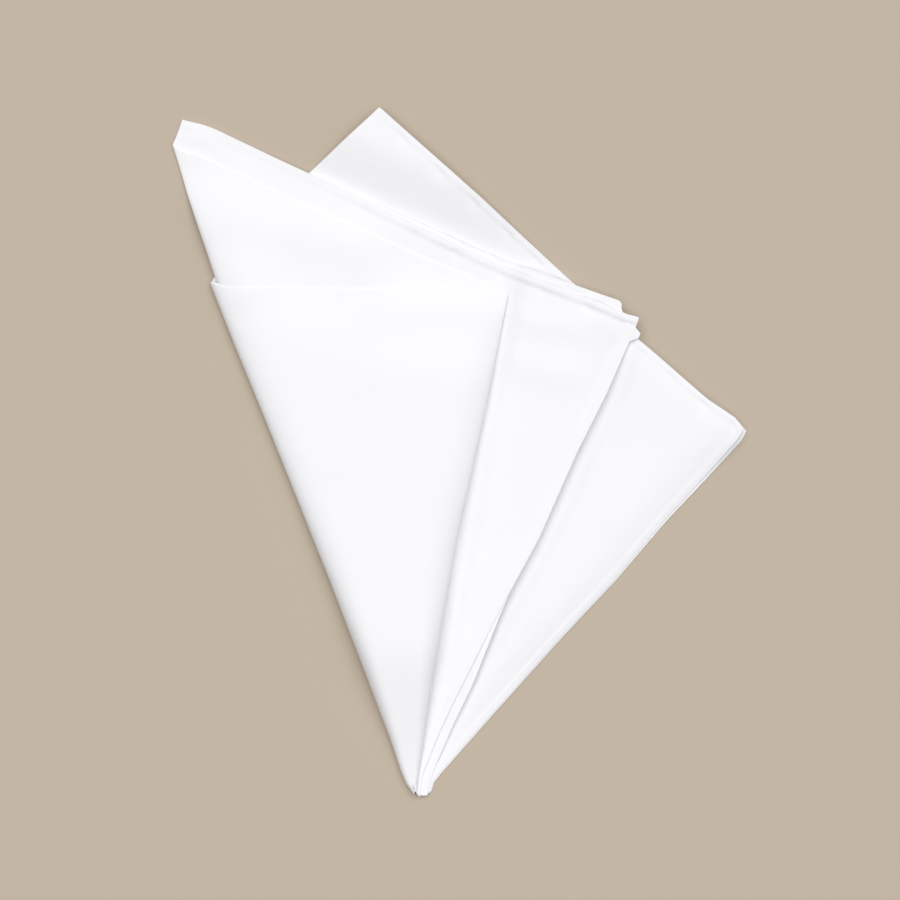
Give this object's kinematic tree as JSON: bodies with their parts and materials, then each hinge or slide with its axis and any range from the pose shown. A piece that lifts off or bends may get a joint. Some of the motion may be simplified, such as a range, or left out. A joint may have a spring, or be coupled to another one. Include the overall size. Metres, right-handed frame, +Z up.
{
  "type": "pocket square",
  "caption": "Plain white cotton square folded in half and pleated into a flat fan of uneven points, lying on its underside.",
  "frame": {"origin": "below the middle of the folded cloth's bounding box, on the surface that it lies on", "axes": "+Z up from the surface, +Y from the narrow tip towards the raised corner, +X towards the right-hand corner"},
  "size_m": [0.1942, 0.2334, 0.0114],
  "materials": {
    "cloth": "matt plain-weave cotton, pressed, with a narrow stitched hem"
  },
  "bodies": {
    "root": {"pocket_square": "cloth"}
  },
  "joints": []
}
